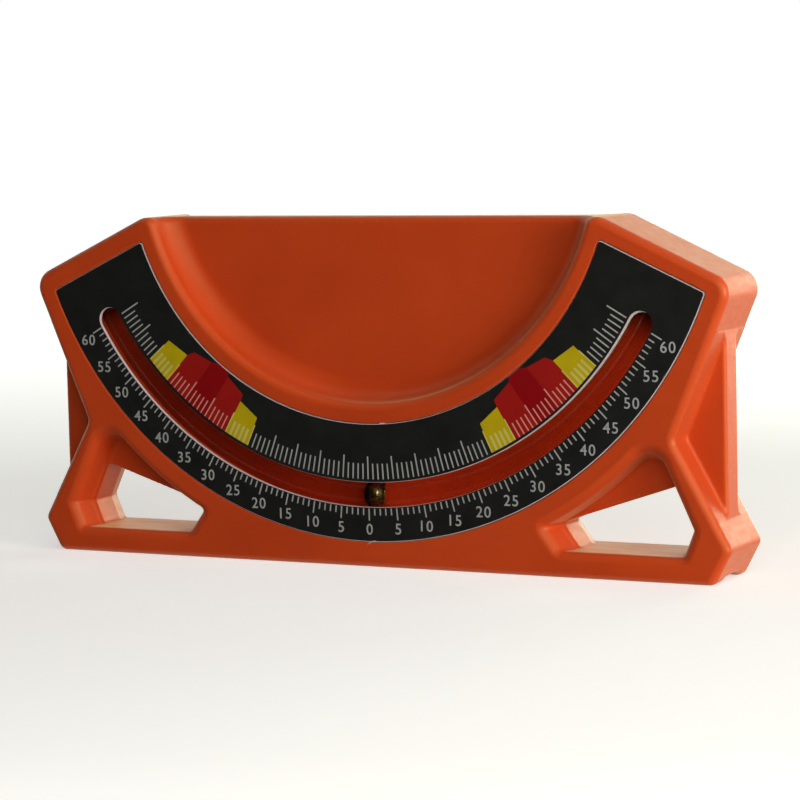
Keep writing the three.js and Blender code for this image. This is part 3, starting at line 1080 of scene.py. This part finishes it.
CAMERA_AZIMUTH = math.radians(27.62)
CAMERA_PITCH = math.radians(5.737)
CAMERA_ROLL = math.radians(-1.358)
CAMERA_PLACE = Vector((192.27, -363.20, 62.87))
SENSOR_WIDTH = 36  # millimetres, as Blender has it
CAMERA_LENS = 139.86
NEAR_CLIP = 10
STUDIO_SIZE = 6000
LAMP_DISTANCE = 450
LAMP_TARGET = Vector((0, 0, 20))
LAMP_SIZE = 240
LOW_LAMP_RISE = 8  # degrees
WARM_LIGHT = (1, 0.96, 0.84)
RIM_LIGHT = (0.95, 1, 0.75)
AMBIENT_LIGHT = (1, 0.93, 0.86, 1)
AMBIENT_STRENGTH = 0.03
NEAR_GLOW = 0.53
GLOW_START = 120
GLOW_END = 420
FLAG_DISTANCE = 150
FLAG_REACH = 700
FLAG_RIGHT = 300
FLAG_HEIGHT = 400
FLAG_LIFT = 0.5


def make_camera():
    back = Vector(
        (
            math.sin(CAMERA_AZIMUTH) * math.cos(CAMERA_PITCH),
            -math.cos(CAMERA_AZIMUTH) * math.cos(CAMERA_PITCH),
            math.sin(CAMERA_PITCH),
        )
    )
    level = Vector((math.cos(CAMERA_AZIMUTH), math.sin(CAMERA_AZIMUTH), 0))
    rise = back.cross(level)
    right = math.cos(CAMERA_ROLL) * level + math.sin(CAMERA_ROLL) * rise
    up = -math.sin(CAMERA_ROLL) * level + math.cos(CAMERA_ROLL) * rise
    data = bpy.data.cameras.new("camera")
    data.sensor_width = SENSOR_WIDTH
    data.lens = CAMERA_LENS
    data.clip_start = NEAR_CLIP * MM
    data.clip_end = STUDIO_SIZE * MM
    camera = new_object("camera", data)
    place = Matrix((right, up, back)).transposed().to_4x4()
    place.translation = CAMERA_PLACE * MM
    camera.matrix_world = place
    bpy.context.scene.camera = camera


def add_lamp(name, azimuth, elevation, power, colour):
    """A square soft lamp that faces the object. Azimuth 0 is in front and 90 degrees to the right"""
    turn = math.radians(azimuth)
    rise = math.radians(elevation)
    direction = Vector((math.sin(turn) * math.cos(rise), -math.cos(turn) * math.cos(rise), math.sin(rise)))
    data = bpy.data.lights.new(name, "AREA")
    data.size = LAMP_SIZE * MM
    data.energy = power
    data.color = colour
    lamp = new_object(name, data)
    lamp.location = (LAMP_TARGET + direction * LAMP_DISTANCE) * MM
    lamp.rotation_mode = "QUATERNION"
    lamp.rotation_quaternion = (-direction).to_track_quat("-Z", "Y")


def backdrop_share(tree):
    """1 for what sees the background: the camera, and mirror and clear surfaces"""
    path = tree.nodes.new("ShaderNodeLightPath")
    seen = calculate(tree, "ADD", path.outputs["Is Camera Ray"], path.outputs["Is Glossy Ray"])
    return calculate(tree, "ADD", seen, path.outputs["Is Transmission Ray"])


def make_world():
    world = bpy.data.worlds.new("studio")
    bpy.context.scene.world = world
    world.use_nodes = True
    tree = world.node_tree
    tree.nodes.clear()
    ambient = tree.nodes.new("ShaderNodeBackground")
    ambient.inputs["Color"].default_value = AMBIENT_LIGHT
    ambient.inputs["Strength"].default_value = AMBIENT_STRENGTH
    white = tree.nodes.new("ShaderNodeBackground")
    white.inputs["Color"].default_value = (1, 1, 1, 1)
    white.inputs["Strength"].default_value = 1.0
    mix = tree.nodes.new("ShaderNodeMixShader")
    output = tree.nodes.new("ShaderNodeOutputWorld")
    tree.links.new(backdrop_share(tree), mix.inputs[0])
    tree.links.new(ambient.outputs[0], mix.inputs[1])
    tree.links.new(white.outputs[0], mix.inputs[2])
    tree.links.new(mix.outputs[0], output.inputs[0])


def floor_finish():
    """Pale paper: what sees the background finds it white, apart from the object's shadow"""
    material, tree, shader = new_finish("floor_paper")
    fibre = noise(tree, grain=3, detail=6)
    dark = (0.80, 0.80, 0.80, 1)
    light = (0.84, 0.84, 0.84, 1)
    colour = blend(tree, evened(tree, fibre), dark, light)
    connect(tree, colour, shader.inputs["Base Color"])
    shader.inputs["Roughness"].default_value = 0.9
    shader.inputs["Specular IOR Level"].default_value = 0.0
    glow = tree.nodes.new("ShaderNodeEmission")
    place = tree.nodes.new("ShaderNodeTexCoord").outputs["Object"]
    distance = tree.nodes.new("ShaderNodeVectorMath")
    distance.operation = "LENGTH"
    connect(tree, place, distance.inputs[0])
    far_off = spread(tree, distance.outputs["Value"], GLOW_START * MM, GLOW_END * MM, NEAR_GLOW, 1.0)
    connect(tree, far_off, glow.inputs["Strength"])
    lit = tree.nodes.new("ShaderNodeAddShader")
    mix = tree.nodes.new("ShaderNodeMixShader")
    output = tree.nodes["Material Output"]
    tree.links.new(shader.outputs[0], lit.inputs[0])
    tree.links.new(glow.outputs[0], lit.inputs[1])
    tree.links.new(backdrop_share(tree), mix.inputs[0])
    tree.links.new(shader.outputs[0], mix.inputs[1])
    tree.links.new(lit.outputs[0], mix.inputs[2])
    tree.links.new(mix.outputs[0], output.inputs["Surface"])
    return material


def make_floor():
    half = STUDIO_SIZE / 2
    corners = [(-half, -half, 0), (half, -half, 0), (half, half, 0), (-half, half, 0)]
    mesh = mesh_of("floor", corners, [(0, 1, 2, 3)])
    mesh.materials.append(floor_finish())
    floor = new_object("floor", mesh)


def make_lights():
    add_lamp("key_right", azimuth=70, elevation=LOW_LAMP_RISE, power=1.35, colour=WARM_LIGHT)
    add_lamp("key_side", azimuth=80, elevation=LOW_LAMP_RISE, power=0.35, colour=WARM_LIGHT)
    add_lamp("fill_front", azimuth=30, elevation=24, power=0.62, colour=WARM_LIGHT)
    add_lamp("rim_back_right", azimuth=162, elevation=LOW_LAMP_RISE, power=0.85, colour=RIM_LIGHT)
    add_lamp("back", azimuth=180, elevation=LOW_LAMP_RISE, power=0.4, colour=RIM_LIGHT)


def make_flag():
    """A dark card that lies before the object and then stands up, which only mirror and clear surfaces see"""
    profile = [
        (-HALF_DEPTH, FLAG_LIFT),
        (-FLAG_DISTANCE, FLAG_LIFT),
        (-FLAG_DISTANCE, FLAG_HEIGHT),
    ]
    points = [(x, y, z) for x in (-FLAG_REACH, FLAG_RIGHT) for y, z in profile]
    mesh = mesh_of("flag", points, [(0, 1, 4, 3), (1, 2, 5, 4)])
    material, tree, shader = new_finish("flag_felt")
    fuzz = noise(tree, grain=2)
    dark = (0.01, 0.01, 0.01, 1)
    light = (0.02, 0.02, 0.02, 1)
    connect(tree, blend(tree, fuzz, dark, light), shader.inputs["Base Color"])
    shader.inputs["Roughness"].default_value = 1.0
    shader.inputs["Specular IOR Level"].default_value = 0.0
    mesh.materials.append(material)
    flag = new_object("flag", mesh)
    flag.visible_camera = False
    flag.visible_diffuse = False
    flag.visible_shadow = False


make_camera()
make_world()
make_floor()
make_lights()
make_flag()

inks = {
    # the sheet's pink tint is painted bounce light from the orange case; the sheet itself is white
    "sheet": ink("white_sheet", (0.68, 0.57, 0.63, 1), (0.61, 0.51, 0.56, 1), 0.5),
    "black": ink("black_ink", (0.011, 0.0118, 0.0118, 1), (0.015, 0.0158, 0.0158, 1)),
    "grey": ink("grey_ink", (0.42, 0.44, 0.46, 1), (0.36, 0.38, 0.40, 1)),
    "yellow": ink("yellow_ink", (0.54, 0.42, 0.003, 1), (0.48, 0.37, 0.002, 1)),
    "red": ink("red_ink", (0.36, 0.009, 0.007, 1), (0.32, 0.007, 0.006, 1)),
    "dark_red": ink("dark_red_ink", (0.28, 0.001, 0.004, 1), (0.25, 0.001, 0.004, 1)),
    "pale_yellow": ink("pale_yellow_ink", (0.62, 0.56, 0.16, 1), (0.55, 0.49, 0.12, 1)),
    "pale_red": ink("pale_red_ink", (0.72, 0.30, 0.26, 1), (0.66, 0.27, 0.23, 1)),
}
make_housing(orange_plastic())
make_dial(inks)
make_tube(
    clear_plastic("clear_plastic", PLASTIC_IOR, (0.97, 0.97, 0.96, 1), (0.94, 0.94, 0.93, 1)),
    clear_plastic(
        "plastic_to_liquid", PLASTIC_IOR / LIQUID_IOR, (0.97, 0.60, 0.56, 1), (0.93, 0.55, 0.51, 1)
    ),
)
make_ball(polished_steel())
dress("dial_adhesive", adhesive_film())
rubber = plug_rubber()
dress("vial_plug_left", rubber)
dress("vial_plug_right", rubber)

scene = bpy.context.scene
scene.view_settings.view_transform = "Standard"
